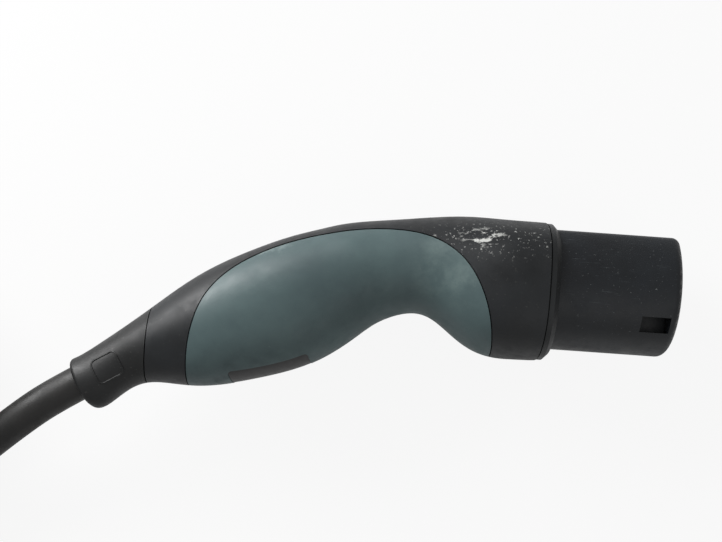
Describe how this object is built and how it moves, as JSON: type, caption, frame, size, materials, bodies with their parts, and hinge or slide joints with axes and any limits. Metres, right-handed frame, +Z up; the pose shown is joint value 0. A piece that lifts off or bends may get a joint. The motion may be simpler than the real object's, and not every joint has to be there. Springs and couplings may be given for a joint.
{
  "type": "vehicle charging plug",
  "caption": "Hand-held charging plug for an electric vehicle, with a curved two-colour grip, socketed nose, cable boot and coiled cable.",
  "frame": {"origin": "middle of the earth socket's mouth", "axes": "+X out of the nose along the socket axes, +Y to the nose's flat side, +Z up from the floor that the plug lies on, square to the handle's mirror plane"},
  "size_m": [0.5602, 0.2224, 0.0722],
  "materials": {
    "housing_black": "satin",
    "grip_grey_green": "satin",
    "nose_black": "satin",
    "boot_black": "matt",
    "cable_black": "matt",
    "gasket_black": "matt",
    "contact_silver": "satin",
    "screw_steel": "satin",
    "label_black": "matt",
    "clamp_grey": "matt",
    "retainer_grey": "matt",
    "wire_brown": "gloss",
    "wire_black": "gloss",
    "wire_grey": "gloss",
    "wire_blue": "gloss",
    "wire_green": "gloss",
    "wire_orange": "gloss",
    "resistor_tan": "gloss"
  },
  "bodies": {
    "root": {"cable_boot": "boot_black", "cable_coil": "cable_black", "cable_entry": "cable_black", "cable_run": "cable_black", "cable_tail": "cable_black", "clamp_base": "clamp_grey", "clamp_saddle": "clamp_grey", "clamp_screws": "screw_steel", "coding_resistor": "resistor_tan", "collar_ring": "housing_black", "contact_cp": "contact_silver", "contact_l1": "contact_silver", "contact_l2": "contact_silver", "contact_l3": "contact_silver", "contact_n": "contact_silver", "contact_pe": "contact_silver", "contact_pp": "contact_silver", "contact_retainer": "retainer_grey", "grip_shell": "grip_grey_green", "housing": "housing_black", "label_plate": "label_black", "nose_body": "nose_black", "nose_gasket": "gasket_black", "nose_screws": "screw_steel", "retainer_screws": "screw_steel", "wire_cp": "wire_orange", "wire_l1": "wire_brown", "wire_l2": "wire_black", "wire_l3": "wire_grey", "wire_n": "wire_blue", "wire_pe": "wire_green"}
  },
  "joints": []
}
